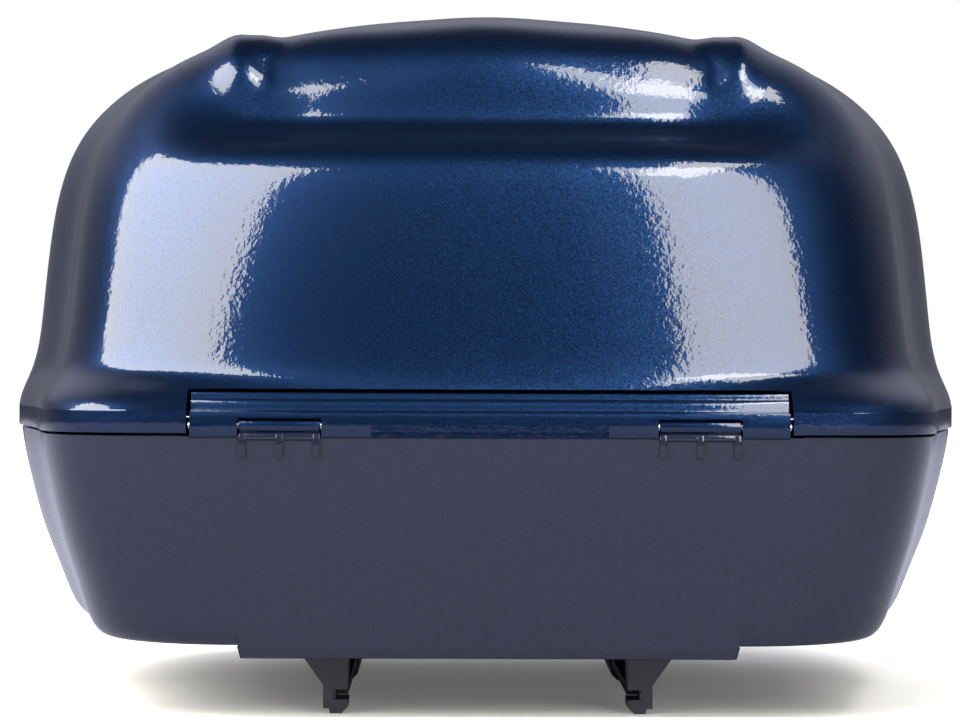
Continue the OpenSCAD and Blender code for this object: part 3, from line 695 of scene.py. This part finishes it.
for name, width in (("plinth", 0.6), ("foot_front_left", 0.5), ("foot_front_right", 0.5),
                    ("foot_rear_left", 0.5), ("foot_rear_right", 0.5), ("latch_housing", 0.5),
                    ("latch_lever", 0.5), ("striker", 0.4), ("latch_claw", 0.4),
                    ("lock_cylinder", 0.25), ("release_button", 0.5), ("carrier_bolt", 0.4),
                    ("hinge_pin", 0.3), ("bolt_guide", 0.5), ("floor_mat", 0.5),
                    ("runner_left", 0.3), ("runner_right", 0.3), ("rim_seal", 0.9)):
    soften(name, width)

# ---- stage -----------------------------------------------------------------------------------

floor = link("floor", bpy.data.meshes.new("floor"))
bm = bmesh.new()
bmesh.ops.create_grid(bm, x_segments=2, y_segments=2, size=14)
bm.to_mesh(floor.data)
bm.free()
# pale, with a painted glow that grows with the distance and, near the case, lightens the shadow
# under it; where the object mirrors it, a dim bluish sheet is a painted reflection
s = Surface("floor", (0.8, 0.8, 0.8), 0.7, Specular_IOR_Level=0.1)
s.link(s.ramp(s.noise(3, 2), [(0.2, (0.79, 0.79, 0.79)), (0.8, (0.82, 0.82, 0.82))]),
       s.shader.inputs["Base Color"])
painted_reflection = s.node("ShaderNodeBsdfDiffuse")
painted_reflection.inputs["Color"].default_value = (0.22, 0.23, 0.30, 1)
far = s.node("ShaderNodeVectorMath", operation="LENGTH")
s.link(s.place, far.inputs[0])
painted_glow = s.node("ShaderNodeEmission")
s.link(s.span(far.outputs["Value"], 0.12, 1.0, 0.35, 2.3), painted_glow.inputs["Strength"])
total = s.node("ShaderNodeAddShader")
s.link(s.shader.outputs[0], total.inputs[0])
s.link(painted_glow.outputs[0], total.inputs[1])
choose = s.node("ShaderNodeMixShader")
s.link(s.node("ShaderNodeLightPath").outputs["Is Glossy Ray"], choose.inputs[0])
s.link(total.outputs[0], choose.inputs[1])
s.link(painted_reflection.outputs[0], choose.inputs[2])
s.link(choose.outputs[0], s.tree.nodes["Material Output"].inputs["Surface"])
floor.data.materials.append(s.material)

world = bpy.data.worlds.new("studio")
scene.world = world
world.use_nodes = True
tree = world.node_tree
tree.nodes.clear()


def world_node(kind, **settings):
    n = tree.nodes.new(kind)
    for key, value in settings.items():
        setattr(n, key, value)
    return n


def world_step(value, start, end, low, high):
    """Smooth step from low, where the value is at start, to high at end."""
    n = world_node("ShaderNodeMapRange", interpolation_type="SMOOTHSTEP")
    for key, v in (("From Min", start), ("From Max", end), ("To Min", low), ("To Max", high)):
        n.inputs[key].default_value = v
    tree.links.new(value, n.inputs["Value"])
    return n.outputs[0]


def world_math(operation, *values):
    n = world_node("ShaderNodeMath", operation=operation)
    for socket, value in zip(n.inputs, values):
        if isinstance(value, float):
            socket.default_value = value
        else:
            tree.links.new(value, socket)
    return n.outputs[0]


def background(colour):
    n = world_node("ShaderNodeBackground")
    n.inputs["Color"].default_value = (*colour, 1)
    return n


axes = world_node("ShaderNodeSeparateXYZ")
tree.links.new(world_node("ShaderNodeTexCoord").outputs["Generated"], axes.inputs[0])
# from the dark hall behind the camera to the pale walls at the sides and the back
walls = world_step(axes.outputs["Y"], -0.3, 0.6, 0.02, 0.18)
# paler above the horizon
lit = world_math("MULTIPLY", walls, world_step(axes.outputs["Z"], 0.08, 0.5, 1.0, 2.6))
# dark ceiling, narrow at the sides
sideways = world_math("ABSOLUTE", axes.outputs["X"])
overhead = world_math("MULTIPLY_ADD", sideways, -1.2, axes.outputs["Z"])
hall = background((0.82, 0.83, 1.0))
tree.links.new(world_math("MULTIPLY", lit, world_step(overhead, 0.25, 0.7, 1.0, 0.06)),
               hall.inputs["Strength"])
# the camera sees plain white
mix = world_node("ShaderNodeMixShader")
tree.links.new(world_node("ShaderNodeLightPath").outputs["Is Camera Ray"], mix.inputs[0])
tree.links.new(hall.outputs[0], mix.inputs[1])
tree.links.new(background((1, 1, 1)).outputs[0], mix.inputs[2])
tree.links.new(mix.outputs[0], world_node("ShaderNodeOutputWorld").inputs[0])


def area(name, place, target, size, power, glossy=True, colour=(1, 1, 1)):
    data = bpy.data.lights.new(name, "AREA")
    data.shape = "RECTANGLE"
    data.size, data.size_y = size
    data.energy, data.color = power, colour
    o = bpy.data.objects.new(name, data)
    scene.collection.objects.link(o)
    o.location = place
    o.rotation_euler = (Vector(target) - Vector(place)).to_track_quat("-Z", "Y").to_euler()
    o.visible_glossy = glossy


WARM = (1, 0.96, 0.86)
area("softbox_left", (-1.6, -1.12, 1.96), (0, -0.2, 1.7), (2.4, 2.72), 225, colour=WARM)
area("softbox_right", (1.03, -1.91, 1.95), (0, -0.2, 1.7), (1.0, 3.1), 90, colour=WARM)
area("softbox_right_upper", (0.98, -1.5, 2.85), (0.98, -1.5, 0), (0.5, 1.7), 27, colour=WARM)
area("fill_top", (0, 0.2, 2.6), (0, 0, 0), (2.5, 2.5), 60, False)
area("fill_back", (0, 2.6, 1.2), (0, 0, 0.2), (2.0, 1.5), 40, False)
